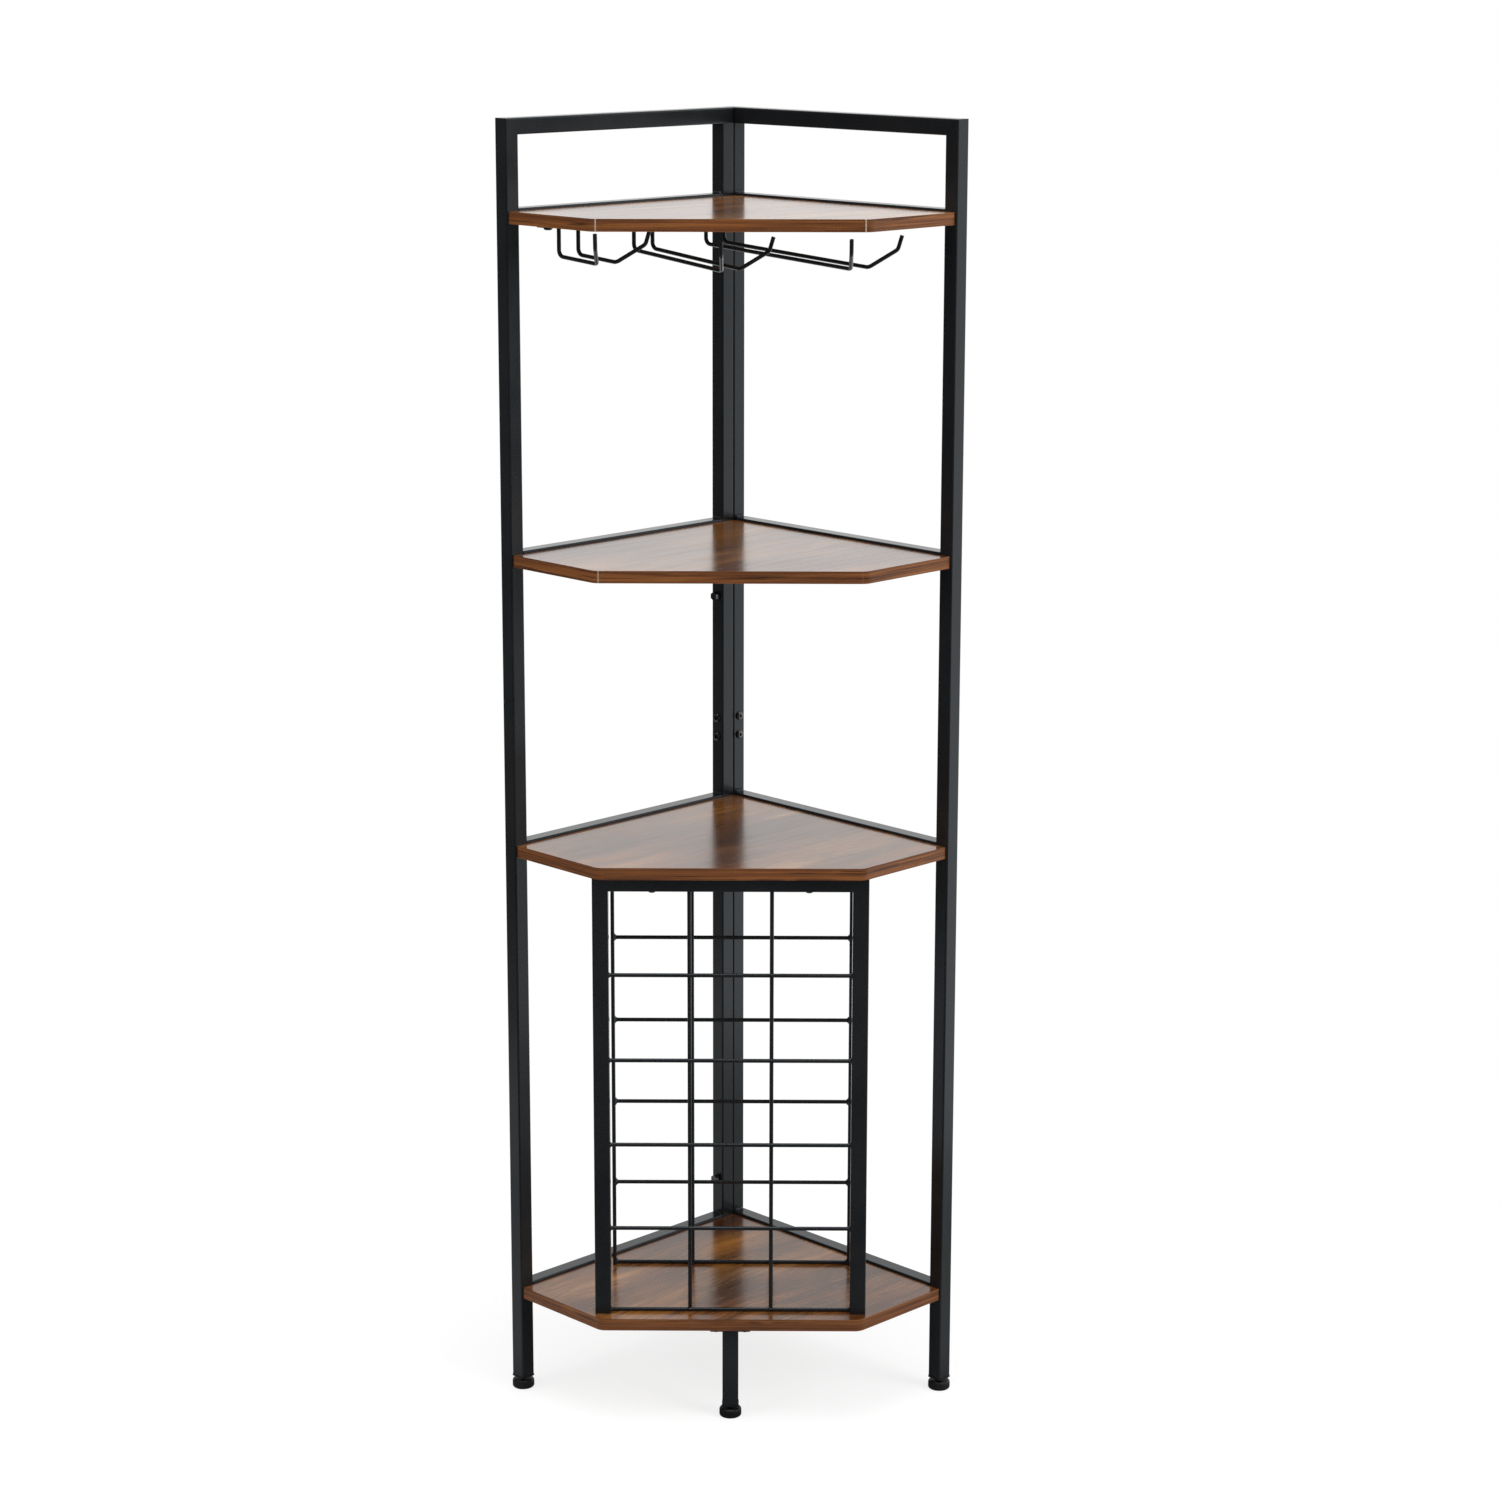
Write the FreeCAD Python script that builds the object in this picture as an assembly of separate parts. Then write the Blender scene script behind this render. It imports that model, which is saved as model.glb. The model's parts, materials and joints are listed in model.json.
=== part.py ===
import FreeCAD, Part
import math
import os

# Corner wine rack: two steel-tube wings at a right angle carry four five-sided shelves.
# A welded bottle grid stands between the lower two shelves, and three bent-wire glass
# hangers hang under the top one. Units are millimetres, +Z is up and the front faces -Y.
# The origin is the middle of the footprint's box, on the floor.

# Square tube
TUBE = 20.0                 # outside width
TUBE_WALL = 1.2
TUBE_RADIUS = 2.0           # outside corner
WING_LENGTH = 400.0         # rear corner to front end of a wing, outside

# Heights, from the floor up, to the top face of each board
BOTTOM_SHELF = 140.5
RACK_BAY = 585.5            # bottom board to third board
SMALL_BAY = 367.0           # third board to second board
HANGER_BAY = 417.0          # second board to top board
GUARD = 110.0               # top board to the top of the wings

# Boards
BOARD = 15.0                # thickness, edge band included
SIDE_EDGE = 147.0           # board edge that runs square off each wing
SHELF_INSET = 3.0           # that edge behind the wing's front end
FRONT_RADIUS = 16.0         # the two front corners in plan
EDGE_BAND = 1.0
SHELF_GAP = 0.5             # board to rail

# Welded tabs and their screws, which carry the boards
TAB = 2.0
TAB_WIDTH = 30.0
TAB_REACH = 22.0
TAB_HOLE_REACH = 12.0       # rail to screw
TAB_INSET = 50.0            # post to middle of tab
SCREW_SHANK = 4.0
SCREW_HEAD = 8.0
SCREW_HEAD_HEIGHT = 2.4
SCREW_GRIP = 10.0           # length in the board

# Joint halfway up each post: inner sleeve and two bolts
SLEEVE_LENGTH = 80.0
SLEEVE_WALL = 1.8
SLEEVE_CLEARANCE = 0.2
JOINT_BOLT_PITCH = 25.0
BOLT = 6.0                  # shank of every frame bolt
BOLT_LENGTH = 10.0
BOLT_HEAD = 11.0
BOLT_HEAD_HEIGHT = 3.2
HEAD_SOCKET = 0.36          # hexagon across flats, as a share of a domed head's width
HEAD_RIM = 0.3              # straight rim of a domed head, as a share of its height
HEAD_CROWN = 0.46           # flat crown of a domed head, as a share of its width
SOCKET_DEPTH = 0.6          # as a share of the head's height
FLANGE = 1.4                # flange under a corner bolt's hexagon
HOLE_CLEARANCE = 0.3        # radial, round every bolt and screw
OVERCUT = 1.0               # a cutter past the face that it opens

# Bolts that join the two wings at the rear corner
UPPER_CORNER_BOLT = 99.0    # below the second board
LOWER_CORNER_BOLT = 53.0    # above the bottom board
CORNER_HEAD = 12.0
CORNER_HEAD_HEIGHT = 7.2
NUT_WIDTH = 10.0
NUT_HEIGHT = 5.0

# Levelling feet
POST_BOTTOM = 17.0          # floor to tube end
FREE_POST_LIFT = 10.0       # extra under the one post that has no foot
FOOT = 28.0
FOOT_HEIGHT = 12.0
FOOT_NECK = 20.0            # top of the dome
FOOT_DOME = 4.0             # height of the dome over the pad's straight side
FOOT_EDGE = 3.0             # rounding of the pad's lower edge
STUD = 8.0
STUD_LENGTH = 33.0
STUD_CLEARANCE = 0.2
INSERT_LIP = 2.0            # thickness of the lip under the tube's end
INSERT_FLANGE = 0.6         # lip past the tube's sides
INSERT_HEIGHT = 30.0
CAP_DEPTH = 15.0            # plug of the free post's cap

# Bottle grid
RACK_SETBACK = 18.0         # front edge of the board to front face of the uprights
RACK_OVERHANG = 7.3         # side of the rack past each end of the straight front edge
WIRE = 5.0                  # all round wire
ROWS = 5
COLUMNS = 3
GRID_DEPTH = 155.0          # front wires to rear wires
PEG = 8.0                   # rear wires' ends in the boards
PEG_CLEARANCE = 0.1
RACK_BOLT_SPAN = 193.0      # between the two bolts in the top rail
RACK_BOLT_GRIP = 10.0       # length in the board
RACK_BOLT_HEAD = 10.0
RACK_BOLT_HEAD_HEIGHT = 3.0
RACK_BOLT = 5.0
PLUG_HEIGHT = 16.0

# Glass hangers, from the shortest to the longest
HANGER_LENGTHS = (67.0, 153.0, 249.0)
HANGER_DROOPS = (4.2, 5.6, 3.3)         # degrees
HANGER_NAMES = ("short", "medium", "long")
HANGER_MARGIN = 51.0        # board's left edge to the first hanger
HANGER_END = 82.0           # last hanger to the right wing
HANGER_SETBACK = 50.0       # left wing to the hangers' risers
HANGER_SPACING = 31.0       # between the two wires
HANGER_DROP = 37.0          # board to wire at the riser
HANGER_BEND = 8.0           # radius of the bends
TIP_REACH = 35.0            # outward run of the flared end, in plan
TIP_LEAN = 5.0              # outward lean of its last part
TIP_UPRIGHT = 17.0          # height of its last part
TIP_GAP = 3.5               # shortest hanger's free end to the board
PLATE = 2.0
PLATE_WIDTH = 20.0
PLATE_EAR = 26.0            # plate past each wire
PLATE_HOLE = 17.0           # wire to screw
PLATE_SCREW_HEAD = 11.0
PLATE_SCREW_HEAD_HEIGHT = 3.2

# Front leg
LEG_SETBACK = 28.0          # front edge of the board to middle of the leg
LEG_PLATE = 2.5
LEG_PLATE_WIDTH = 50.0
LEG_SCREW_SPAN = 36.0

# Worked out from the sizes above
SHELVES = ("bottom", "third", "second", "top")
SHELF_TOPS = {"bottom": BOTTOM_SHELF}
SHELF_TOPS["third"] = SHELF_TOPS["bottom"] + RACK_BAY
SHELF_TOPS["second"] = SHELF_TOPS["third"] + SMALL_BAY
SHELF_TOPS["top"] = SHELF_TOPS["second"] + HANGER_BAY
HEIGHT = SHELF_TOPS["top"] + GUARD
SPLIT = (POST_BOTTOM + HEIGHT) / 2
INNER_LENGTH = WING_LENGTH - TUBE       # inner corner to front end of a wing
SHELF_SIDE = INNER_LENGTH - SHELF_INSET
DIAGONAL = math.sqrt(2.0)
FRONT_REACH = (SHELF_SIDE + SIDE_EDGE) / DIAGONAL
REAR_REACH = max(TUBE * DIAGONAL - TUBE_RADIUS * (DIAGONAL - 1), TUBE / DIAGONAL + FOOT / 2)
CORNER_Y = (FRONT_REACH - REAR_REACH) / 2
FRONT_Y = CORNER_Y - FRONT_REACH
TUBE_BORE = TUBE - 2 * TUBE_WALL
BORE_RADIUS = max(TUBE_RADIUS - TUBE_WALL, 0)

UP = FreeCAD.Vector(0, 0, 1)
DOWN = FreeCAD.Vector(0, 0, -1)
# The corner frame has the inner corner at its origin, the left wing along -X and the right one along -Y
CORNER_FRAME = FreeCAD.Placement(FreeCAD.Vector(0, CORNER_Y, 0), FreeCAD.Rotation(UP, 45))
# Each wing is drawn along +X with its inner face on Y = 0: the left one from its front end,
# the right one from its rear end, which passes behind the left wing's end
LEFT_FRAME = CORNER_FRAME.multiply(
    FreeCAD.Placement(FreeCAD.Vector(-INNER_LENGTH, 0, 0), FreeCAD.Rotation(UP, 0)))
RIGHT_FRAME = CORNER_FRAME.multiply(
    FreeCAD.Placement(FreeCAD.Vector(0, TUBE, 0), FreeCAD.Rotation(UP, -90)))
NODES = {}


def vec(x, y, z):
    return FreeCAD.Vector(x, y, z)


def keep(name, shapes, frame=None):
    """Stores one solid, or a group of solids, as a node, moved into the object's frame."""
    shapes = shapes if isinstance(shapes, list) else [shapes]
    moved = []
    for shape in shapes:
        shape = shape.copy()
        if frame is not None:
            shape.Placement = frame.multiply(shape.Placement)
        moved.append(shape)
    NODES.setdefault(name, []).extend(moved)


def box(x0, x1, y0, y1, z0, z1):
    return Part.makeBox(x1 - x0, y1 - y0, z1 - z0, vec(x0, y0, z0))


def rod(diameter, start, end):
    run = end - start
    return Part.makeCylinder(diameter / 2, run.Length, start, run)


def aimed(shape, point, direction):
    """Moves a shape drawn at the origin along +Z to a point, with +Z turned to a direction."""
    shape.Placement = FreeCAD.Placement(point, FreeCAD.Rotation(UP, direction))
    return shape


def square_bar(width, radius, length):
    """Solid square bar along +Z, standing on its axis, with rounded long edges."""
    half = width / 2
    bar = box(-half, half, -half, half, 0, length)
    if radius <= 0:
        return bar
    long_edges = [edge for edge in bar.Edges if abs(edge.tangentAt(edge.FirstParameter).z) > 0.5]
    return bar.makeFillet(radius, long_edges)


def square_tube(start, direction, length):
    """Hollow tube that starts with the middle of its end face on a point."""
    tube = square_bar(TUBE, TUBE_RADIUS, length).cut(square_bar(TUBE_BORE, BORE_RADIUS, length))
    return aimed(tube, start, direction)


def bore_plug(length):
    """Square bar that slips into a tube."""
    return square_bar(TUBE_BORE - 2 * SLEEVE_CLEARANCE, BORE_RADIUS, length)


def profile_turned(points):
    """Solid turned about Z from a half outline of (radius, height) points and arcs of three points."""
    edges = []
    here = points[0]
    for step in points[1:]:
        if len(step) == 2:
            edges.append(Part.LineSegment(vec(here[0], 0, here[1]), vec(step[0], 0, step[1])).toShape())
            here = step
        else:
            middle = (step[0], step[1])
            end = (step[2], step[3])
            arc = Part.Arc(vec(here[0], 0, here[1]), vec(middle[0], 0, middle[1]), vec(end[0], 0, end[1]))
            edges.append(arc.toShape())
            here = end
    return Part.Face(Part.Wire(edges)).revolve(vec(0, 0, 0), UP, 360)


def hexagon_prism(width, height, z0):
    corners = [vec(width / math.sqrt(3) * math.cos(math.radians(60 * i)),
                   width / math.sqrt(3) * math.sin(math.radians(60 * i)), z0) for i in range(7)]
    return Part.Face(Part.makePolygon(corners)).extrude(vec(0, 0, height))


def button_bolt(head, head_height, shank, length):
    """Bolt with a domed socket head: the head's seat is at Z = 0 and the shank runs down."""
    radius = head / 2
    rim = head_height * HEAD_RIM
    crown = radius * HEAD_CROWN
    turn = math.sqrt(0.5)
    dome = (crown + (radius - crown) * turn, rim + (head_height - rim) * turn, crown, head_height)
    bolt = profile_turned([(0, -length), (shank / 2, -length), (shank / 2, 0), (radius, 0), (radius, rim),
                           dome, (0, head_height), (0, -length)])
    depth = head_height * SOCKET_DEPTH
    return bolt.cut(hexagon_prism(head * HEAD_SOCKET, depth, head_height - depth))


def corner_bolt(length):
    """Flanged hexagon-head bolt that joins the wings, drawn like the button bolt."""
    bolt = profile_turned([(0, -length), (BOLT / 2, -length), (BOLT / 2, 0), (CORNER_HEAD / 2, 0),
                           (CORNER_HEAD / 2, FLANGE), (0, FLANGE), (0, -length)])
    return bolt.fuse(hexagon_prism(NUT_WIDTH, CORNER_HEAD_HEIGHT - FLANGE, FLANGE)).removeSplitter()


def mitre_wedge(outer, inner, other):
    """Prism across a tube that cuts its end off along the line from the outer to the inner corner."""
    corners = [vec(point[0], -TUBE, point[1]) for point in (outer, inner, other, outer)]
    return Part.Face(Part.makePolygon(corners)).extrude(vec(0, 3 * TUBE, 0))


def drilled(shape, holes):
    """Cuts round holes, each a diameter, a start and an end."""
    for diameter, start, end in holes:
        shape = shape.cut(rod(diameter, start, end))
    return shape


def rail_bottom(shelf):
    """The rail's underside is flush with the tab that carries the board."""
    return SHELF_TOPS[shelf] - BOARD - TAB


def wing(side, frame, length, ends, lifts, corner_holes):
    """One wing, drawn along +X from its first end: split posts, a mitred top rail and the shelf rails."""
    middle = TUBE / 2
    bolt_hole = BOLT + 2 * HOLE_CLEARANCE
    faces = (TUBE, length - TUBE)           # the posts' faces inside the wing
    mitres = (((0, HEIGHT), (TUBE, HEIGHT - TUBE)),
              ((length, HEIGHT), (length - TUBE, HEIGHT - TUBE)))
    for index, end in enumerate(ends):
        inward = 1 if index == 0 else -1
        axis_x = faces[index] - inward * middle
        outer, inner = mitres[index]
        joint_holes = []
        for step in (-0.5, 0.5):
            z = SPLIT + step * JOINT_BOLT_PITCH
            seat = vec(faces[index], middle, z)
            joint_holes.append((bolt_hole, vec(axis_x, middle, z), seat + vec(inward * OVERCUT, 0, 0)))
            bolt = button_bolt(BOLT_HEAD, BOLT_HEAD_HEIGHT, BOLT, BOLT_LENGTH)
            keep("post_joint_bolts", aimed(bolt, seat, vec(inward, 0, 0)), frame)
        bottom = POST_BOTTOM + lifts[index]
        lower = square_tube(vec(axis_x, middle, bottom), UP, SPLIT - bottom)
        upper = square_tube(vec(axis_x, middle, SPLIT), UP, HEIGHT - SPLIT)
        upper = upper.cut(mitre_wedge(outer, inner, (inner[0], outer[1])))
        holes = joint_holes + corner_holes[index]
        keep(f"{side}_wing_{end}_post_lower", drilled(lower, holes), frame)
        keep(f"{side}_wing_{end}_post_upper", drilled(upper, holes), frame)
        sleeve_bore = TUBE_BORE - 2 * SLEEVE_CLEARANCE - 2 * SLEEVE_WALL
        sleeve = bore_plug(SLEEVE_LENGTH).cut(square_bar(sleeve_bore, 0, SLEEVE_LENGTH))
        sleeve = aimed(sleeve, vec(axis_x, middle, SPLIT - SLEEVE_LENGTH / 2), UP)
        keep("post_connectors", drilled(sleeve, joint_holes), frame)
    top_rail = square_tube(vec(0, middle, HEIGHT - middle), vec(1, 0, 0), length)
    for outer, inner in mitres:
        top_rail = top_rail.cut(mitre_wedge(outer, inner, (outer[0], inner[1])))
    keep(f"{side}_wing_top_rail", top_rail, frame)
    for shelf in SHELVES:
        start = vec(faces[0], middle, rail_bottom(shelf) + middle)
        keep(f"{side}_wing_{shelf}_shelf_rail", square_tube(start, vec(1, 0, 0), faces[1] - faces[0]), frame)
        for x in (faces[0] + TAB_INSET, faces[1] - TAB_INSET):
            shelf_tab(side, frame, x, rail_bottom(shelf))


def shelf_tab(side, frame, x, z):
    """Tab welded to the inner face of a rail, with the screw that holds the board down on it."""
    hole = vec(x, -TAB_HOLE_REACH, z)
    tab = box(x - TAB_WIDTH / 2, x + TAB_WIDTH / 2, -TAB_REACH, 0, z, z + TAB)
    tab = drilled(tab, [(SCREW_SHANK + 2 * HOLE_CLEARANCE, hole, hole + UP * TAB)])
    keep(f"{side}_wing_shelf_tabs", tab, frame)
    screw = button_bolt(SCREW_HEAD, SCREW_HEAD_HEIGHT, SCREW_SHANK, TAB + SCREW_GRIP)
    keep("shelf_screws", aimed(screw, hole, DOWN), frame)


def tab_screw_points(shelf):
    """Screw axes of one board's four tabs, in the object's frame, at the board's underside."""
    points = []
    for frame, length in ((LEFT_FRAME, INNER_LENGTH), (RIGHT_FRAME, WING_LENGTH)):
        for x in (TUBE + TAB_INSET, length - TUBE - TAB_INSET):
            points.append(frame.multVec(vec(x, -TAB_HOLE_REACH, SHELF_TOPS[shelf] - BOARD)))
    return points


def shelf_prism(shelf, inset):
    """Five-sided board in the corner frame, with its three open edges drawn in by an inset."""
    side = SHELF_SIDE - inset
    turn = SIDE_EDGE - inset * (DIAGONAL - 1)
    base = SHELF_TOPS[shelf] - BOARD
    back = -SHELF_GAP
    corners = [(back, back), (-side, back), (-side, -turn), (-turn, -side), (back, -side), (back, back)]
    outline = Part.makePolygon([vec(x, y, base) for x, y in corners])
    prism = Part.Face(outline).extrude(vec(0, 0, BOARD))
    front_corners = ((-side, -turn), (-turn, -side))
    rounded = []
    for edge in prism.Edges:
        middle = edge.CenterOfMass
        if any(abs(middle.x - x) < 0.01 and abs(middle.y - y) < 0.01 for x, y in front_corners):
            rounded.append(edge)
    return prism.makeFillet(FRONT_RADIUS - inset, rounded)


def shelves():
    """Four boards with their pilot holes, and the band glued round each board's open edges."""
    for shelf in SHELVES:
        core = shelf_prism(shelf, EDGE_BAND)
        band = shelf_prism(shelf, 0).cut(core)
        core.Placement = CORNER_FRAME.multiply(core.Placement)
        keep(f"{shelf}_shelf_board", drilled(core, pilot_holes(shelf)))
        keep(f"{shelf}_shelf_edge_band", band, CORNER_FRAME)


def pilot_holes(shelf):
    """Holes that the screws, bolts and wire ends of one board need."""
    under = SHELF_TOPS[shelf] - BOARD
    screw_hole = SCREW_SHANK + 2 * PEG_CLEARANCE
    holes = [(screw_hole, point, point + UP * SCREW_GRIP) for point in tab_screw_points(shelf)]
    if shelf == "top":
        holes += [(screw_hole, point, point + UP * SCREW_GRIP) for point in hanger_screw_points()]
    if shelf == "third":
        for x in (-RACK_BOLT_SPAN / 2, RACK_BOLT_SPAN / 2):
            point = vec(x, rack_y(), under)
            holes.append((RACK_BOLT + 2 * PEG_CLEARANCE, point, point + UP * RACK_BOLT_GRIP))
        for x in (rear_wire_x(0), rear_wire_x(COLUMNS)):
            point = vec(x, rear_y(), under)
            holes.append((WIRE + 2 * PEG_CLEARANCE, point, point + UP * PEG))
    if shelf == "bottom":
        for x in (-upright_x(), upright_x()):
            point = vec(x, rack_y(), under)
            holes.append((RACK_BOLT + 2 * HOLE_CLEARANCE, point, point + UP * BOARD))
        for x in (rear_wire_x(0), rear_wire_x(COLUMNS)):
            point = vec(x, rear_y(), SHELF_TOPS[shelf])
            holes.append((WIRE + 2 * PEG_CLEARANCE, point, point + DOWN * PEG))
        for point in leg_screw_points():
            holes.append((screw_hole, point, point + UP * SCREW_GRIP))
    return holes


def corner_bolts():
    """Bolts through the left wing's rear post into nuts welded inside the corner post."""
    for z in corner_bolt_heights():
        seat = vec(-TUBE, TUBE / 2, z)
        inner_wall = vec(TUBE_WALL, TUBE / 2, z)
        length = TUBE + TUBE_WALL + NUT_HEIGHT
        keep("corner_bolts", aimed(corner_bolt(length), seat, vec(-1, 0, 0)), CORNER_FRAME)
        nut = hexagon_prism(NUT_WIDTH, NUT_HEIGHT, 0).cut(
            Part.makeCylinder(BOLT / 2 + PEG_CLEARANCE, NUT_HEIGHT))
        keep("corner_nuts", aimed(nut, inner_wall, vec(1, 0, 0)), CORNER_FRAME)


def corner_bolt_heights():
    return (SHELF_TOPS["second"] - UPPER_CORNER_BOLT, SHELF_TOPS["bottom"] + LOWER_CORNER_BOLT)


def wings():
    """Both wings, with holes for the corner bolts in the two posts that meet at the rear."""
    hole = BOLT + 2 * HOLE_CLEARANCE
    middle = TUBE / 2
    through_left = []
    into_corner = []
    for z in corner_bolt_heights():
        start = vec(INNER_LENGTH - TUBE - OVERCUT, middle, z)
        through_left.append((hole, start, start + vec(TUBE + 2 * OVERCUT, 0, 0)))
        near_wall = vec(middle, -OVERCUT, z)
        into_corner.append((hole, near_wall, near_wall + vec(0, OVERCUT + middle, 0)))
    wing("left", LEFT_FRAME, INNER_LENGTH, ("front", "rear"), (0, FREE_POST_LIFT), ([], through_left))
    wing("right", RIGHT_FRAME, WING_LENGTH, ("rear", "front"), (0, 0), (into_corner, []))


def foot_insert():
    """Plug in the end of a tube, with a lip over the tube's end and a bore for the foot's stud."""
    plug = bore_plug(INSERT_HEIGHT)
    lip = square_bar(TUBE + 2 * INSERT_FLANGE, TUBE_RADIUS + INSERT_FLANGE, INSERT_LIP)
    lip.translate(vec(0, 0, -INSERT_LIP))
    solid = plug.fuse(lip).removeSplitter()
    bore = Part.makeCylinder(STUD / 2 + STUD_CLEARANCE, INSERT_HEIGHT + INSERT_LIP, vec(0, 0, -INSERT_LIP))
    return solid.cut(bore)


def foot(x, y):
    """Levelling foot: a domed round pad, standing on the floor, with its threaded stud."""
    radius = FOOT / 2
    neck = FOOT_NECK / 2
    shoulder = FOOT_HEIGHT - FOOT_DOME
    stud_top = FOOT_HEIGHT + STUD_LENGTH
    turn = math.sqrt(0.5)
    edge = (radius - FOOT_EDGE * (1 - turn), FOOT_EDGE * (1 - turn), radius, FOOT_EDGE)
    dome = (neck + (radius - neck) * turn, shoulder + FOOT_DOME * turn, neck, FOOT_HEIGHT)
    outline = [(0, 0), (radius - FOOT_EDGE, 0), edge, (radius, shoulder), dome,
               (STUD / 2, FOOT_HEIGHT), (STUD / 2, stud_top), (0, stud_top), (0, 0)]
    solid = profile_turned(outline)
    solid.translate(vec(x, y, 0))
    return solid


def feet():
    """Three feet under the posts and one under the front leg, each in its insert."""
    middle = TUBE / 2
    seats = {"left_foot": LEFT_FRAME.multVec(vec(middle, middle, POST_BOTTOM)),
             "right_foot": RIGHT_FRAME.multVec(vec(WING_LENGTH - middle, middle, POST_BOTTOM)),
             "corner_foot": RIGHT_FRAME.multVec(vec(middle, middle, POST_BOTTOM)),
             "front_foot": vec(0, leg_y(), POST_BOTTOM)}
    for name, seat in seats.items():
        plug = foot_insert()
        turned = 0 if name == "front_foot" else 45
        plug.Placement = FreeCAD.Placement(seat, FreeCAD.Rotation(UP, turned))
        keep("foot_inserts", plug)
        keep(name, foot(seat.x, seat.y))
    cap_lip = square_bar(TUBE, TUBE_RADIUS, INSERT_LIP)
    cap_plug = bore_plug(CAP_DEPTH)
    cap_plug.translate(vec(0, 0, INSERT_LIP))
    cap = cap_lip.fuse(cap_plug).removeSplitter()
    free_end = vec(INNER_LENGTH - middle, middle, POST_BOTTOM + FREE_POST_LIFT - INSERT_LIP)
    keep("rear_post_cap", aimed(cap, free_end, UP), LEFT_FRAME)


def rack_width():
    return (SHELF_SIDE - SIDE_EDGE) * DIAGONAL + 2 * RACK_OVERHANG


def upright_x():
    return rack_width() / 2 - TUBE / 2


def rack_y():
    """Middle of the uprights, front to back."""
    return FRONT_Y + RACK_SETBACK + TUBE / 2


def rear_y():
    return rack_y() + GRID_DEPTH


def cell_width():
    return (rack_width() - 2 * TUBE - (COLUMNS - 1) * WIRE) / COLUMNS


def rear_wire_x(index):
    return (index - COLUMNS / 2) * (cell_width() + WIRE)


def row_height():
    clear = SHELF_TOPS["third"] - BOARD - TUBE - SHELF_TOPS["bottom"] - ROWS * WIRE
    return clear / ROWS + WIRE


def crossbar_z(index):
    return SHELF_TOPS["bottom"] + WIRE / 2 + index * row_height()


def bottle_rack():
    """Mitred tube front with a wire grid, a second grid behind it, and what holds them to the boards."""
    floor = SHELF_TOPS["bottom"]
    roof = SHELF_TOPS["third"] - BOARD
    half = rack_width() / 2
    y = rack_y()
    inside = half - TUBE
    bolt_hole = RACK_BOLT + 2 * HOLE_CLEARANCE
    top_rail = square_tube(vec(-half, y, roof - TUBE / 2), vec(1, 0, 0), 2 * half)
    for name, sign in (("left", -1), ("right", 1)):
        outer = (sign * half, roof)
        inner = (sign * inside, roof - TUBE)
        upright = square_tube(vec(sign * upright_x(), y, floor), UP, roof - floor)
        keep(f"rack_{name}_upright", upright.cut(mitre_at(y, outer, inner, (inner[0], outer[1]))))
        top_rail = top_rail.cut(mitre_at(y, outer, inner, (outer[0], inner[1])))
        plug = bore_plug(PLUG_HEIGHT).cut(Part.makeCylinder(RACK_BOLT / 2 + PEG_CLEARANCE, PLUG_HEIGHT))
        keep("rack_upright_plugs", aimed(plug, vec(sign * upright_x(), y, floor), UP))
        screw = button_bolt(RACK_BOLT_HEAD, RACK_BOLT_HEAD_HEIGHT, RACK_BOLT, BOARD + PLUG_HEIGHT)
        keep("rack_bottom_screws", aimed(screw, vec(sign * upright_x(), y, floor - BOARD), DOWN))
        seat = vec(sign * RACK_BOLT_SPAN / 2, y, roof - TUBE)
        top_rail = drilled(top_rail, [(bolt_hole, seat, seat + UP * TUBE)])
        bolt = button_bolt(RACK_BOLT_HEAD, RACK_BOLT_HEAD_HEIGHT, RACK_BOLT, TUBE + RACK_BOLT_GRIP)
        keep("rack_top_bolts", aimed(bolt, seat, DOWN))
    keep("rack_top_rail", top_rail)
    keep("rack_bottom_bar", rod(WIRE, vec(-inside, y, crossbar_z(0)), vec(inside, y, crossbar_z(0))))
    for index in range(1, COLUMNS):
        x = rear_wire_x(index)
        keep("rack_front_verticals", rod(WIRE, vec(x, y, floor + WIRE), vec(x, y, roof - TUBE)))
    for index in range(1, ROWS):
        z = crossbar_z(index)
        keep("rack_front_crossbars", rod(WIRE, vec(-inside, y - WIRE, z), vec(inside, y - WIRE, z)))
    rear_grid(floor, roof)


def mitre_at(y, outer, inner, other):
    wedge = mitre_wedge(outer, inner, other)
    wedge.translate(vec(0, y - TUBE / 2, 0))
    return wedge


def rear_grid(floor, roof):
    """Second grid: its outer wires are pegged into both boards, and its crossbars lie behind the uprights."""
    y = rear_y()
    ends = rear_wire_x(COLUMNS) + WIRE / 2
    highest = crossbar_z(ROWS) + WIRE / 2
    for index in range(COLUMNS + 1):
        x = rear_wire_x(index)
        pegged = index in (0, COLUMNS)
        bottom = floor - PEG if pegged else floor
        top = roof + PEG if pegged else highest
        keep("rack_rear_verticals", rod(WIRE, vec(x, y, bottom), vec(x, y, top)))
    for index in range(ROWS + 1):
        z = crossbar_z(index)
        keep("rack_rear_crossbars", rod(WIRE, vec(-ends, y + WIRE, z), vec(ends, y + WIRE, z)))


def bent_path(points, radius):
    """Straight runs through the points, with each corner rounded by a tangent arc."""
    edges = []
    here = points[0]
    for index in range(1, len(points) - 1):
        corner = points[index]
        back = (points[index - 1] - corner).normalize()
        ahead = (points[index + 1] - corner).normalize()
        half_angle = back.getAngle(ahead) / 2
        setback = radius / math.tan(half_angle)
        bisector = (back + ahead).normalize()
        arc_start = corner + back * setback
        arc_end = corner + ahead * setback
        arc_middle = corner + bisector * (radius / math.sin(half_angle) - radius)
        edges.append(Part.LineSegment(here, arc_start).toShape())
        edges.append(Part.Arc(arc_start, arc_middle, arc_end).toShape())
        here = arc_end
    edges.append(Part.LineSegment(here, points[-1]).toShape())
    return Part.Wire(edges)


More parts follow.
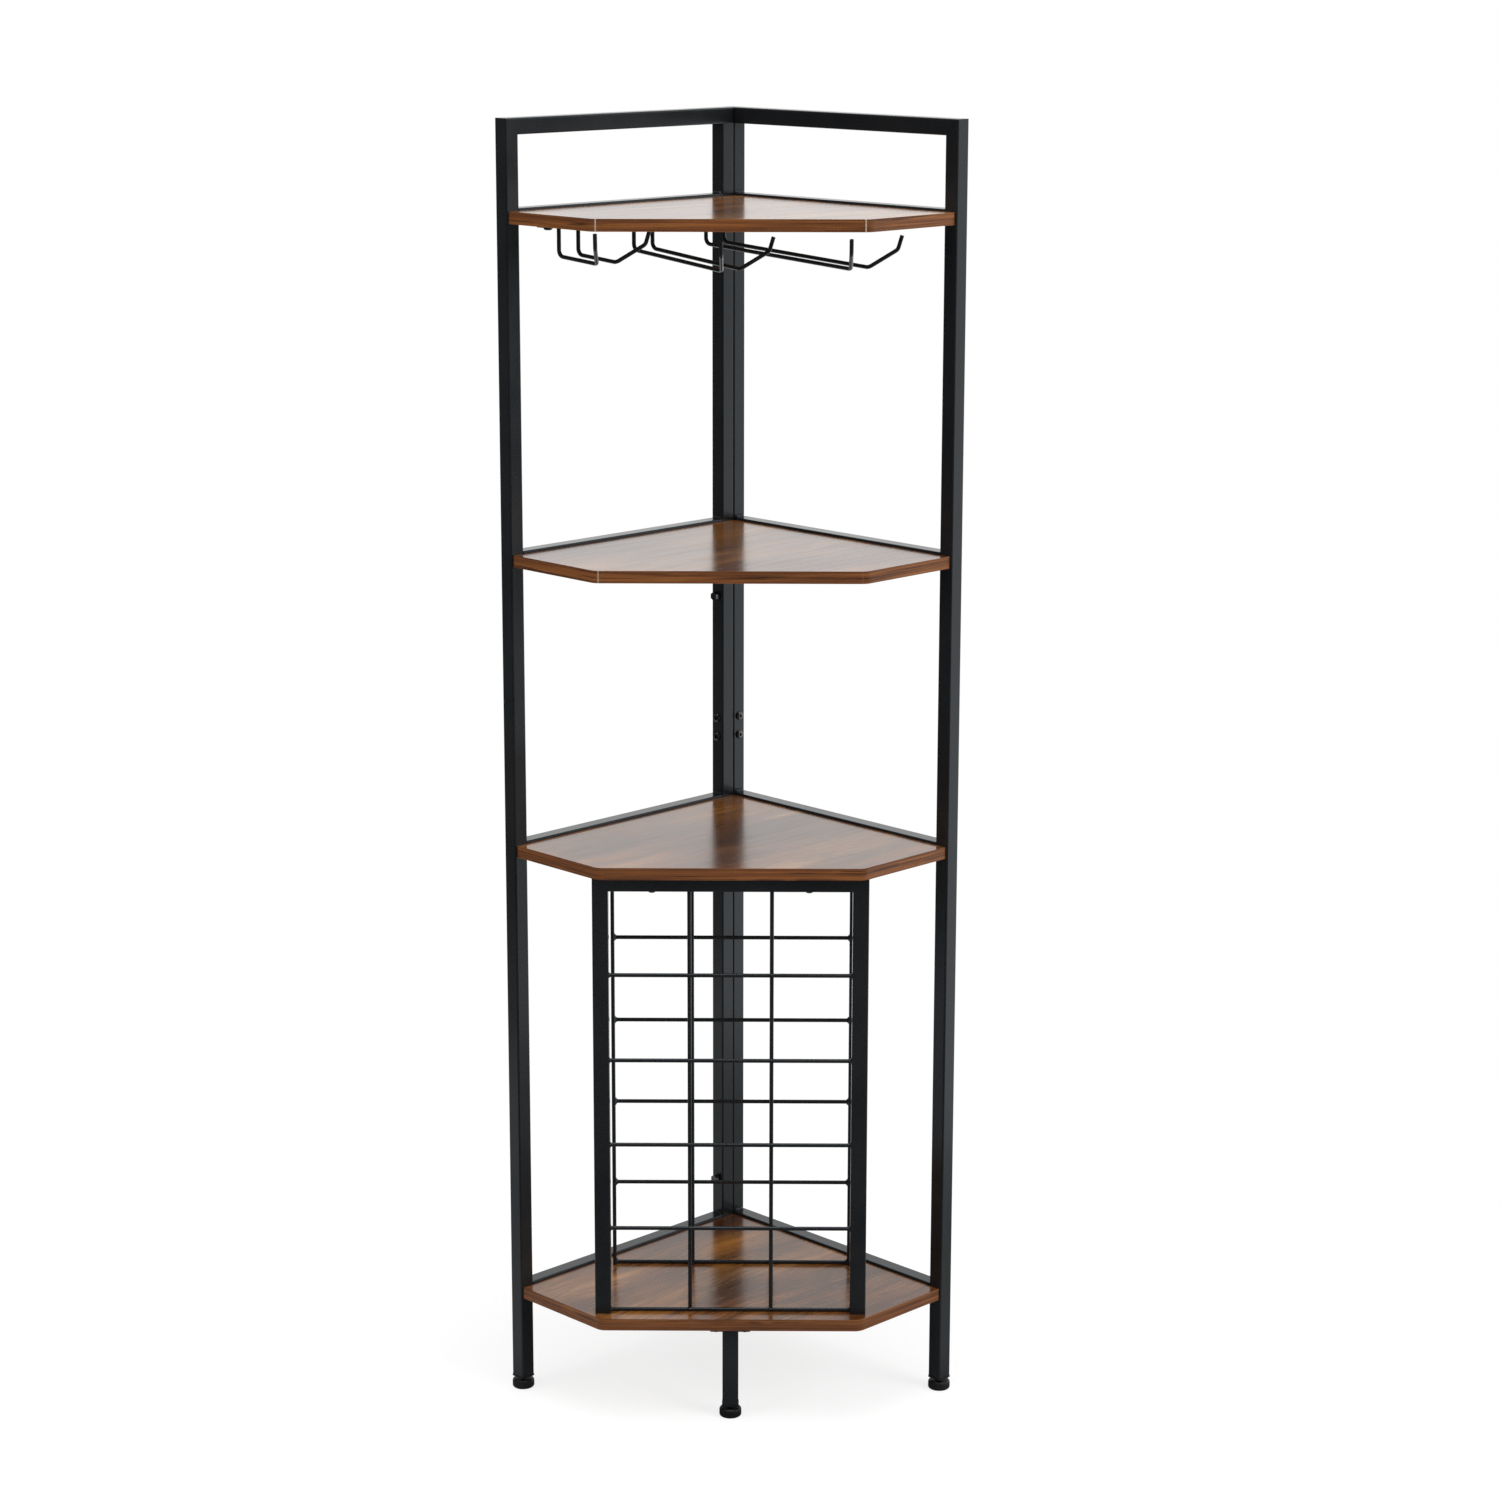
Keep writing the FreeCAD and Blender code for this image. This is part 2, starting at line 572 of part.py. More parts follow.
def bent_wire(points):
    path = bent_path(points, HANGER_BEND)
    section = Part.Wire(Part.Circle(points[0], points[1] - points[0], WIRE / 2).toShape())
    wire = path.makePipeShell([section], True, False)
    expected = math.pi * WIRE ** 2 / 4 * path.Length
    print(f"bent wire: length {path.Length:.1f}, volume off by {abs(wire.Volume / expected - 1):.5f}")
    return wire


def hanger_x(index):
    """Middle of a hanger along the left wing, in the corner frame."""
    pitch = (SHELF_SIDE - HANGER_MARGIN - HANGER_END) / (len(HANGER_LENGTHS) - 1)
    return -SHELF_SIDE + HANGER_MARGIN + index * pitch


def hanger_screw_points():
    """Screw axes of the hanger plates at the top board's underside, in the object's frame."""
    under = SHELF_TOPS["top"] - BOARD
    reach = HANGER_SPACING / 2 + PLATE_HOLE
    points = []
    for index in range(len(HANGER_LENGTHS)):
        for sign in (-1, 1):
            points.append(CORNER_FRAME.multVec(vec(hanger_x(index) + sign * reach, -HANGER_SETBACK, under)))
    return points


def glass_hangers():
    """Pairs of bent wires that run forward beside the right wing, welded to plates under the top board."""
    under = SHELF_TOPS["top"] - BOARD
    droops = [length * math.tan(math.radians(droop)) for length, droop in zip(HANGER_LENGTHS, HANGER_DROOPS)]
    tip_slope_rise = HANGER_DROP + droops[0] - TIP_GAP - TIP_UPRIGHT
    for index, name in enumerate(HANGER_NAMES):
        for sign in (-1, 1):
            x = hanger_x(index) + sign * HANGER_SPACING / 2
            rear = vec(x, -HANGER_SETBACK, under - HANGER_DROP)
            bend = rear + vec(0, -HANGER_LENGTHS[index], -droops[index])
            outward = vec(sign, -1, 0).normalize()
            knee = bend + outward * TIP_REACH + UP * tip_slope_rise
            tip = knee + outward * TIP_LEAN + UP * TIP_UPRIGHT
            top = vec(x, -HANGER_SETBACK, under - PLATE)
            keep(f"glass_hanger_{name}", bent_wire([top, rear, bend, knee, tip]), CORNER_FRAME)
        reach = HANGER_SPACING / 2 + PLATE_EAR
        middle = hanger_x(index)
        plate = box(middle - reach, middle + reach, -HANGER_SETBACK - PLATE_WIDTH / 2,
                    -HANGER_SETBACK + PLATE_WIDTH / 2, under - PLATE, under)
        ear_holes = []
        for sign in (-1, 1):
            point = vec(middle + sign * (HANGER_SPACING / 2 + PLATE_HOLE), -HANGER_SETBACK, under - PLATE)
            ear_holes.append((SCREW_SHANK + 2 * HOLE_CLEARANCE, point, point + UP * PLATE))
        keep("hanger_plates", drilled(plate, ear_holes), CORNER_FRAME)
    for point in hanger_screw_points():
        screw = button_bolt(PLATE_SCREW_HEAD, PLATE_SCREW_HEAD_HEIGHT, SCREW_SHANK, PLATE + SCREW_GRIP)
        keep("hanger_screws", aimed(screw, point + DOWN * PLATE, DOWN))


def leg_y():
    return FRONT_Y + LEG_SETBACK


def leg_screw_points():
    """Screw axes of the leg's plate at the bottom board's underside."""
    under = SHELF_TOPS["bottom"] - BOARD
    half = LEG_SCREW_SPAN / 2
    return [vec(x, leg_y() + y, under) for x in (-half, half) for y in (-half, half)]


def front_leg():
    """Short leg under the front of the bottom board, on a screwed plate."""
    under = SHELF_TOPS["bottom"] - BOARD
    y = leg_y()
    half = LEG_PLATE_WIDTH / 2
    keep("front_leg", square_tube(vec(0, y, POST_BOTTOM), UP, under - LEG_PLATE - POST_BOTTOM))
    bore = SCREW_SHANK + 2 * HOLE_CLEARANCE
    holes = [(bore, point + DOWN * LEG_PLATE, point) for point in leg_screw_points()]
    plate = box(-half, half, y - half, y + half, under - LEG_PLATE, under)
    keep("front_leg_plate", drilled(plate, holes))
    for point in leg_screw_points():
        screw = button_bolt(SCREW_HEAD, SCREW_HEAD_HEIGHT, SCREW_SHANK, LEG_PLATE + SCREW_GRIP)
        keep("front_leg_screws", aimed(screw, point + DOWN * LEG_PLATE, DOWN))


def main():
    wings()
    corner_bolts()
    shelves()
    bottle_rack()
    glass_hangers()
    front_leg()
    feet()
    os.makedirs("parts", exist_ok=True)
    for name, solids in NODES.items():
        shape = solids[0] if len(solids) == 1 else Part.makeCompound(solids)
        shape.exportStep(f"parts/{name}.step")
    print(f"{len(NODES)} nodes, {sum(len(solids) for solids in NODES.values())} solids, height {HEIGHT:.1f}")


main()
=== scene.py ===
import json
import math

import bmesh
import bpy
from mathutils import Matrix, Vector, noise


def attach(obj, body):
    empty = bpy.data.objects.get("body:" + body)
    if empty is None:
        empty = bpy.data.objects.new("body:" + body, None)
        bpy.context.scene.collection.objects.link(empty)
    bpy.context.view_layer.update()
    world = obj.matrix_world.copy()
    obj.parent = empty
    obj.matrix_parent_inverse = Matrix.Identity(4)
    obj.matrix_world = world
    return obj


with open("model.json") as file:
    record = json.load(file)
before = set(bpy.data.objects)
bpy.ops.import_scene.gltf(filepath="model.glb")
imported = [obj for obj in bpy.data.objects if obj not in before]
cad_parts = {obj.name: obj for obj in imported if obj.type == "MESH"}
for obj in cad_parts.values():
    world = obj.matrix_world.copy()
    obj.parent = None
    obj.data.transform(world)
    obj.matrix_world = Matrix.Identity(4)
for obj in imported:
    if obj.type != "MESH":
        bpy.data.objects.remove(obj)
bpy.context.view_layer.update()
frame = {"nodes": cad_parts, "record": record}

NODES = frame["nodes"]
RIGHT = Vector((1, 0, 0))           # seen from the front
BACK = Vector((0, 1, 0))
UP = Vector((0, 0, 1))
WHITE = (1, 1, 1, 1)
scene = bpy.context.scene
scene.view_settings.view_transform = "Standard"


# Shader nodes
MIX_NUMBERS = (0, 2, 3)             # a Mix node's sockets for numbers: factor, first and second
MIX_COLOURS = (0, 6, 7)             # the same for colours
MIXED_COLOUR = 2                    # its output for colours


class Graph:
    """Short calls for the nodes of one material or world. All but add and put return outputs."""

    def __init__(self, tree):
        self.tree = tree
        tree.nodes.clear()

    def add(self, kind, **settings):
        """New node with some of its settings changed."""
        made = self.tree.nodes.new(kind)
        for name, value in settings.items():
            setattr(made, name, value)
        return made

    def put(self, socket, value):
        """Links a socket to an output, or sets it to a plain value."""
        if isinstance(value, bpy.types.NodeSocket):
            self.tree.links.new(value, socket)
        else:
            socket.default_value = value

    def math(self, operation, a, b=0.0):
        made = self.add("ShaderNodeMath", operation=operation)
        self.put(made.inputs[0], a)
        self.put(made.inputs[1], b)
        return made.outputs[0]

    def parts(self, vector):
        """The three coordinates of a vector."""
        made = self.add("ShaderNodeSeparateXYZ")
        self.put(made.inputs[0], vector)
        return tuple(made.outputs)

    def length(self, vector):
        made = self.add("ShaderNodeVectorMath", operation="LENGTH")
        self.put(made.inputs[0], vector)
        return made.outputs["Value"]

    def mapped(self, vector, scale=(1, 1, 1), turn=0.0, shift=(0, 0, 0)):
        """A vector scaled, turned about the vertical and then shifted."""
        made = self.add("ShaderNodeMapping")
        self.put(made.inputs["Vector"], vector)
        made.inputs["Location"].default_value = shift
        made.inputs["Rotation"].default_value = (0, 0, turn)
        made.inputs["Scale"].default_value = scale
        return made.outputs[0]

    def noise(self, vector, scale=1.0, detail=2.0, rough=0.5):
        made = self.add("ShaderNodeTexNoise")
        self.put(made.inputs["Vector"], vector)
        made.inputs["Scale"].default_value = scale
        made.inputs["Detail"].default_value = detail
        made.inputs["Roughness"].default_value = rough
        return made.outputs["Fac"]

    def ramp(self, value, stops):
        """Colour ramp whose stops are a place with a colour or with a grey level."""
        made = self.add("ShaderNodeValToRGB")
        elements = made.color_ramp.elements
        while len(elements) < len(stops):
            elements.new(0.5)
        for element, (place, colour) in zip(elements, stops):
            rgb = colour if isinstance(colour, tuple) else (colour, colour, colour)
            element.position = place
            element.color = (*rgb, 1)
        self.put(made.inputs[0], value)
        return made.outputs[0]

    def span(self, value, low, high, to_low=0.0, to_high=1.0):
        """Smooth step from to_low at low to to_high at high."""
        made = self.add("ShaderNodeMapRange", interpolation_type="SMOOTHSTEP")
        self.put(made.inputs["Value"], value)
        ends = {"From Min": low, "From Max": high, "To Min": to_low, "To Max": to_high}
        for name, number in ends.items():
            made.inputs[name].default_value = number
        return made.outputs[0]

    def mix(self, factor, a, b, blend="MIX"):
        """Mix of two colours."""
        made = self.add("ShaderNodeMix", data_type="RGBA", blend_type=blend)
        for index, value in zip(MIX_COLOURS, (factor, a, b)):
            self.put(made.inputs[index], (*value, 1) if isinstance(value, tuple) else value)
        return made.outputs[MIXED_COLOUR]

    def mix_numbers(self, factor, a, b):
        made = self.add("ShaderNodeMix", data_type="FLOAT")
        for index, value in zip(MIX_NUMBERS, (factor, a, b)):
            self.put(made.inputs[index], value)
        return made.outputs[0]

    def bump(self, height, strength, distance):
        made = self.add("ShaderNodeBump")
        self.put(made.inputs["Height"], height)
        made.inputs["Strength"].default_value = strength
        made.inputs["Distance"].default_value = distance
        return made.outputs[0]

    def layers(self, vector, table):
        """Noise for each row of a table of scale, shift, detail and roughness."""
        made = {}
        for name, (scale, shift, detail, rough) in table.items():
            made[name] = self.noise(self.mapped(vector, scale, shift=shift), detail=detail, rough=rough)
        return made

    def emission(self, strength):
        """White glow."""
        made = self.add("ShaderNodeEmission")
        made.inputs[0].default_value = WHITE
        self.put(made.inputs[1], strength)
        return made.outputs[0]

    def diffuse(self, tone):
        """Matt grey."""
        made = self.add("ShaderNodeBsdfDiffuse")
        made.inputs[0].default_value = (tone, tone, tone, 1)
        return made.outputs[0]

    def mix_shaders(self, factor, first, second):
        made = self.add("ShaderNodeMixShader")
        for socket, value in zip(made.inputs, (factor, first, second)):
            self.put(socket, value)
        return made.outputs[0]


def material(name, build):
    """Material whose Principled shader takes what a build function returns, by socket name."""
    made = bpy.data.materials.new(name)
    made.use_nodes = True
    graph = Graph(made.node_tree)
    shader = graph.add("ShaderNodeBsdfPrincipled")
    output = graph.add("ShaderNodeOutputMaterial")
    made.node_tree.links.new(shader.outputs[0], output.inputs[0])
    place = graph.add("ShaderNodeTexCoord").outputs["Object"]
    for socket, value in build(graph, place).items():
        graph.put(shader.inputs[socket], value)
    return made


# Board tops. Object coordinates are metres in the part's own frame, for all the materials.
NO_SHIFT = (0.0, 0.0, 0.0)
GRAIN_TURN = math.radians(-45)      # the grain runs along the left wing
DRIFT_SCALE = (3.0, 8.0, 9.0)
DRIFT_WIDTH = 0.06                  # how far the grain wanders sideways
# Scales and shifts are along the grain, across it and in height
BOARD_LAYERS = {"patch": ((2.4, 9.0, 13.0), (0.0, 0.0, 0.6), 3.0, 0.55),
                "smoke": ((5.0, 22.0, 12.0), (0.0, 0.3, 0.0), 4.0, 0.6),
                "band": ((3.2, 34.0, 11.0), NO_SHIFT, 4.0, 0.6),
                "streak": ((6.0, 130.0, 11.0), NO_SHIFT, 5.0, 0.66),
                "fibre": ((16.0, 430.0, 11.0), NO_SHIFT, 4.0, 0.7),
                "figure": ((3.0, 10.0, 15.0), (0.0, 0.0, 0.2), 2.0, 0.5),
                "dash": ((34.0, 300.0, 11.0), (0.3, 0.0, 0.0), 2.0, 0.6),
                "fleck": ((26.0, 400.0, 11.0), NO_SHIFT, 2.0, 0.6)}
PATCH_TONES = [(0.35, (0.105, 0.034, 0.0095)), (0.45, (0.185, 0.065, 0.0172)),
               (0.55, (0.275, 0.11, 0.031)), (0.65, (0.40, 0.19, 0.067))]
SMOKE_TONE = (0.085, 0.031, 0.011)
DASH_TONE = (0.035, 0.014, 0.006)
FLECK_TONE = (0.48, 0.29, 0.13)
# Gains that multiply the colour, by the level of their layer
BAND_GAIN = [(0.36, 0.68), (0.5, 1.0), (0.64, 1.22)]
BAND_SHARE = 0.9
STREAK_GAIN = [(0.36, 0.62), (0.5, 1.0), (0.64, 1.24)]
FIBRE_GAIN = [(0.36, 0.78), (0.5, 1.0), (0.64, 1.13)]
DARK_KNOT = (0.046, 0.0155, 0.004)
GOLD_FIGURE = (0.42, 0.165, 0.024)
# Knots and golden figure: middle along the grain, across it and in height, then size, colour and share
BLOTS = (((-0.073, -0.043, 0.140), 0.042, DARK_KNOT, 0.7),
         ((-0.015, 0.011, 0.140), 0.034, GOLD_FIGURE, 0.7),
         ((0.035, 0.065, 0.140), 0.04, GOLD_FIGURE, 0.75),
         ((0.098, 0.128, 0.140), 0.036, DARK_KNOT, 0.8),
         ((-0.17, -0.012, 0.140), 0.05, GOLD_FIGURE, 0.45),
         ((-0.024, -0.012, 0.726), 0.06, DARK_KNOT, 0.65),
         ((0.055, 0.083, 0.726), 0.055, GOLD_FIGURE, 0.6),
         ((-0.106, -0.076, 0.726), 0.045, DARK_KNOT, 0.45),
         ((0.03, 0.06, 1.093), 0.06, GOLD_FIGURE, 0.6),
         ((0.085, 0.115, 1.093), 0.06, GOLD_FIGURE, 0.5),
         ((-0.2, 0.06, 1.51), 0.05, DARK_KNOT, 0.5))
BLOT_STRETCH = 2.4                  # how much longer a blot is along the grain than across it
BLOT_HEIGHT = 0.25                  # its size in height, which keeps it on one board
BLOT_CORE = 0.15                    # share of its size that has its full colour


def blot(g, along, middle, size):
    """Soft spot in the grain: 1 at its middle, 0 outside."""
    sizes = (BLOT_STRETCH * size, size, BLOT_HEIGHT)
    scale = tuple(1 / length for length in sizes)
    shift = tuple(-place / length for place, length in zip(middle, sizes))
    return g.span(g.length(g.mapped(along, scale, shift=shift)), 1.0, BLOT_CORE)


def wood_top(g, place):
    """Glossy brown laminate: wandering grain with knots, golden figure, dark dashes and pale flecks."""
    along = g.mapped(place, turn=GRAIN_TURN)
    drift = g.noise(g.mapped(along, DRIFT_SCALE), detail=3.0, rough=0.6)
    x, y, z = g.parts(along)
    wandering = g.math("ADD", y, g.math("MULTIPLY", drift, DRIFT_WIDTH))
    join = g.add("ShaderNodeCombineXYZ")
    for socket, value in zip(join.inputs, (x, wandering, z)):
        g.put(socket, value)
    warped = join.outputs[0]
    layer = g.layers(warped, BOARD_LAYERS)
    colour = g.ramp(layer["patch"], PATCH_TONES)
    colour = g.mix(g.span(layer["smoke"], 0.5, 0.66, 0.0, 0.6), colour, SMOKE_TONE)
    for middle, size, tone, share in BLOTS:
        colour = g.mix(g.math("MULTIPLY", blot(g, warped, middle, size), share), colour, tone)
    shown = g.span(layer["figure"], 0.38, 0.6, 0.25, 1.0)
    colour = g.mix(BAND_SHARE, colour, g.ramp(layer["band"], BAND_GAIN), "MULTIPLY")
    colour = g.mix(shown, colour, g.ramp(layer["streak"], STREAK_GAIN), "MULTIPLY")
    colour = g.mix(shown, colour, g.ramp(layer["fibre"], FIBRE_GAIN), "MULTIPLY")
    colour = g.mix(g.span(layer["dash"], 0.62, 0.71, 0.0, 0.65), colour, DASH_TONE)
    colour = g.mix(g.span(layer["fleck"], 0.63, 0.71, 0.0, 0.4), colour, FLECK_TONE)
    return {"Base Color": colour,
            "Roughness": g.span(layer["streak"], 0.4, 0.62, 0.2, 0.25),
            "IOR": 1.52,
            "Coat Weight": 0.5,
            "Coat Roughness": 0.17,
            "Normal": g.bump(layer["fibre"], 0.04, 0.0003)}


# Edge bands
EDGE_LAYERS = {"streak": ((4.0, 4.0, 260.0), NO_SHIFT, 4.0, 0.6),
               "line": ((2.6, 2.6, 340.0), (0.0, 0.0, 0.4), 1.0, 0.4),
               "broken": ((34.0, 34.0, 160.0), NO_SHIFT, 2.0, 0.5),
               "fibre": ((16.0, 16.0, 900.0), NO_SHIFT, 3.0, 0.65),
               "patch": ((7.0, 7.0, 40.0), NO_SHIFT, 2.0, 0.5)}
EDGE_TONES = [(0.36, (0.135, 0.042, 0.0095)), (0.5, (0.195, 0.063, 0.0142)), (0.62, (0.26, 0.092, 0.0215))]
EDGE_LINE_TONE = (0.04, 0.0125, 0.004)
EDGE_FIBRE_GAIN = [(0.36, 0.6), (0.5, 1.0), (0.64, 1.2)]
EDGE_FIBRE_SHARE = 0.6
EDGE_PATCH_TONE = (0.1, 0.032, 0.009)
BAND_SEAM = 0.158                   # ends of the front strip of edge band, either side of the middle
SEAM_FRONT = -0.195                 # the seams are in front of this
SEAM_LOW, SEAM_HIGH = 1.0, 1.5      # they fade in between these heights
SEAM_LEFT_LIFT = 0.22               # and this much lower down on the left
SEAM_TONE = (0.5, 0.42, 0.34)


def wood_edge(g, place):
    """Brown edge band: lengthwise grain with broken dark lines, and pale seams on the upper boards."""
    layer = g.layers(place, EDGE_LAYERS)
    colour = g.ramp(layer["streak"], EDGE_TONES)
    ridge = g.math("ABSOLUTE", g.math("SUBTRACT", layer["line"], 0.5))
    dark = g.math("MULTIPLY", g.span(ridge, 0.05, 0.012, 0.0, 0.8),
                  g.span(layer["broken"], 0.36, 0.52, 0.4, 1.0))
    colour = g.mix(dark, colour, EDGE_LINE_TONE)
    colour = g.mix(EDGE_FIBRE_SHARE, colour, g.ramp(layer["fibre"], EDGE_FIBRE_GAIN), "MULTIPLY")
    colour = g.mix(g.span(layer["patch"], 0.45, 0.7, 0.0, 0.25), colour, EDGE_PATCH_TONE)
    x, y, z = g.parts(place)
    off = g.math("ABSOLUTE", g.math("SUBTRACT", g.math("ABSOLUTE", x), BAND_SEAM))
    seam = g.span(off, 0.0011, 0.0004)
    seam = g.math("MULTIPLY", seam, g.math("LESS_THAN", y, SEAM_FRONT))
    left = g.math("LESS_THAN", x, 0.0)
    height = g.math("ADD", z, g.math("MULTIPLY", left, SEAM_LEFT_LIFT))
    seam = g.math("MULTIPLY", seam, g.span(height, SEAM_LOW, SEAM_HIGH, 0.0, 0.8))
    colour = g.mix(seam, colour, SEAM_TONE)
    return {"Base Color": colour,
            "Roughness": g.span(layer["streak"], 0.3, 0.7, 0.44, 0.34),
            "IOR": 1.48,
            "Normal": g.bump(layer["fibre"], 0.12, 0.0003)}


# Steel, fasteners and plastic
CLOUD = (0.3, 0.7)                  # levels of the cloud noise between which roughness changes
STEEL_TONES = [(0.3, (0.0092, 0.0099, 0.0109)), (0.7, (0.0135, 0.0142, 0.0155))]
STEEL_TINT = (0.74, 0.89, 1.0, 1.0)
FASTENER_TONES = [(0.3, (0.10, 0.105, 0.115)), (0.7, (0.17, 0.18, 0.19))]
PLASTIC_TONES = [(0.3, (0.0055, 0.0055, 0.006)), (0.7, (0.0095, 0.0095, 0.0105))]


def black_steel(g, place):
    """Black powder coat with a fine peel."""
    peel = g.noise(place, 1400.0)
    cloud = g.noise(place, 14.0, 3.0, 0.55)
    return {"Base Color": g.ramp(cloud, STEEL_TONES),
            "Roughness": g.span(cloud, *CLOUD, 0.21, 0.27),
            "IOR": 1.43,
            "Specular Tint": STEEL_TINT,
            "Coat Weight": 0.3,
            "Coat Roughness": 0.12,
            "Normal": g.bump(peel, 0.05, 0.0002)}


def black_fastener(g, place):
    """Black oxide on bolts, screws and nuts."""
    cloud = g.noise(place, 160.0, 3.0, 0.6)
    return {"Base Color": g.ramp(cloud, FASTENER_TONES),
            "Metallic": 1.0,
            "Roughness": g.span(cloud, *CLOUD, 0.2, 0.3),
            "Normal": g.bump(cloud, 0.08, 0.0002)}


def black_plastic(g, place):
    """Matt moulded plastic with a fine grain."""
    grain = g.noise(place, 2200.0)
    cloud = g.noise(place, 40.0)
    return {"Base Color": g.ramp(cloud, PLASTIC_TONES),
            "Roughness": g.span(cloud, *CLOUD, 0.38, 0.5),
            "IOR": 1.46,
            "Normal": g.bump(grain, 0.12, 0.0002)}


SLOT_MATERIALS = {"black_steel": material("black_steel_coat", black_steel),
                  "shelf_board": material("shelf_board_laminate", wood_top),
                  "shelf_edge": material("shelf_edge_laminate", wood_edge),
                  "dark_fastener": material("black_oxide", black_fastener),
                  "black_plastic": material("black_moulding", black_plastic)}
for part in frame["record"]["subparts"]:
    for slot in NODES[part["node"]].material_slots:
        slot.material = SLOT_MATERIALS[part["material_slot"]]


# Welds. The places come from the solids of the CAD nodes.
WING_RUNS = {"left": Vector((1, 1, 0)).normalized(), "right": Vector((1, -1, 0)).normalized()}
WING_OUTSIDES = {"left": Vector((-1, 1, 0)).normalized(), "right": Vector((1, 1, 0)).normalized()}
SHELVES = ("top", "second", "third", "bottom")
MERGE = 1e-6                        # points nearer than this are one
WING_WELD = 0.003                   # radius of the beads on the square tube
LEG_WELD = WING_WELD * 0.8
TAB_WELD = WING_WELD * 0.5
BEAD_SHARE = 0.8                    # share of a side that its bead takes up
TAB_BEAD_SHARE = 0.84
BEAD_SIDES = 10
BEAD_LEAST_STEPS = 8
RIPPLE = 0.0035                     # pitch of a bead's ripples
RIPPLE_STEPS = 4
RIPPLE_DEPTH = 0.12                 # share of the radius
TAPER_END, TAPER_SLOPE = 0.35, 4.5  # share of the radius at a bead's ends, and how fast it grows
UNEVEN = 0.16                       # share by which a weld's radius varies
UNEVEN_SCALE = 420
WIRE_WELD = 0.0018                  # width of the fillets round wire ends
REAR_WELD = 0.0026                  # width of those at the ends of the rear bars
FILLET_SIDES = 16
FILLET_STEPS = (0.0, 0.2, 0.45, 0.75, 1.0)
FILLET_LENGTH = 1.3                 # times its width
FILLET_ROOT = 0.0003                # how far a fillet goes into the face that it stands on
FILLET_TIP = 0.0002                 # how far its thin end goes into the wire
SUNK_FOOT = 0.4                     # wire radii by which the uprights' lower fillets go into the bar
NUGGET_SIDES = 12
NUGGET_PROFILE = ((-0.36, 0.45), (-0.24, 0.82), (0.0, 1.0), (0.24, 0.82), (0.36, 0.45))
RIM_DEPTH = 0.0001                  # points this near to a riser's top are its rim
FLOOR_LEVEL = 0.0


def solids_of(node):
    """Corner points of each separate solid in a node."""
    bm = bmesh.new()
    bm.from_mesh(NODES[node].data)
    bmesh.ops.remove_doubles(bm, verts=bm.verts, dist=MERGE)
    seen = set()
    solids = []
    for first in bm.verts:
        if first in seen:
            continue
        seen.add(first)
        found = [first]
        for vert in found:
            for edge in vert.link_edges:
                other = edge.other_vert(vert)
                if other not in seen:
                    seen.add(other)
                    found.append(other)
        solids.append([vert.co.copy() for vert in found])
    bm.free()
    return solids


def reach(points, direction):
    """Least and greatest distance of some points along a direction."""
    along = [point.dot(direction) for point in points]
    return min(along), max(along)


def half_size(points, direction):
    low, high = reach(points, direction)
    return (high - low) / 2


def middle_of(points):
    """Middle of the box round some points."""
    return Vector([sum(reach(points, axis)) / 2 for axis in (RIGHT, BACK, UP)])


def loft(bm, rings):
    """Closed skin over rings of points, with a face at each end."""
    made = [[bm.verts.new(point) for point in ring] for ring in rings]
    for ring, following in zip(made, made[1:]):
        for i in range(len(ring)):
            j = (i + 1) % len(ring)
            bm.faces.new((ring[i], ring[j], following[j], following[i]))
    bm.faces.new(reversed(made[0]))
    bm.faces.new(made[-1])


def ring_points(centre, axis, radius, sides):
    """Slightly uneven circle of points about an axis."""
    across = axis.orthogonal().normalized()
    over = axis.cross(across)
    points = []
    for i in range(sides):
        angle = 2 * math.pi * i / sides
        spoke = across * math.cos(angle) + over * math.sin(angle)
        uneven = 1 + UNEVEN * noise.noise((centre + spoke * radius) * UNEVEN_SCALE)
        points.append(centre + spoke * radius * uneven)
    return points


def bead(bm, start, end, radius):
    """Rippled bead of weld along a line, tapered at both ends."""
    run = end - start
    steps = max(BEAD_LEAST_STEPS, round(run.length / RIPPLE * RIPPLE_STEPS))
    rings = []
    for step in range(steps + 1):
        share = step / steps
        wave = abs(math.sin(math.pi * share * run.length / RIPPLE))
        ripple = 1 - RIPPLE_DEPTH + RIPPLE_DEPTH * wave
        taper = min(1.0, TAPER_END + TAPER_SLOPE * min(share, 1 - share))
        thickness = radius * ripple * taper
        rings.append(ring_points(start + run * share, run.normalized(), thickness, BEAD_SIDES))
    loft(bm, rings)


def above(points, deck):
    """The points, with those under a deck lifted on to it."""
    return [Vector((point.x, point.y, max(point.z, deck))) for point in points]


def fillet(bm, foot, axis, wire, width=WIRE_WELD, deck=FLOOR_LEVEL):
    """Weld round the end of a wire that stands on a face: wide at the face, thinning along the wire."""
    rings = [above(ring_points(foot - axis * FILLET_ROOT, axis, wire + width, FILLET_SIDES), deck)]
    for share in FILLET_STEPS:
        spread = width * (1 - share) ** 2 - FILLET_TIP * share
        centre = foot + axis * width * FILLET_LENGTH * share
        rings.append(above(ring_points(centre, axis, wire + spread, FILLET_SIDES), deck))
    loft(bm, rings)


def nugget(bm, centre, axis, wire, deck=FLOOR_LEVEL):
    """Flash squeezed out where two crossed wires are welded."""
    rings = []
    for height, width in NUGGET_PROFILE:
        ring = ring_points(centre + axis * wire * height, axis, wire * width, NUGGET_SIDES)
        rings.append(above(ring, deck))
    loft(bm, rings)


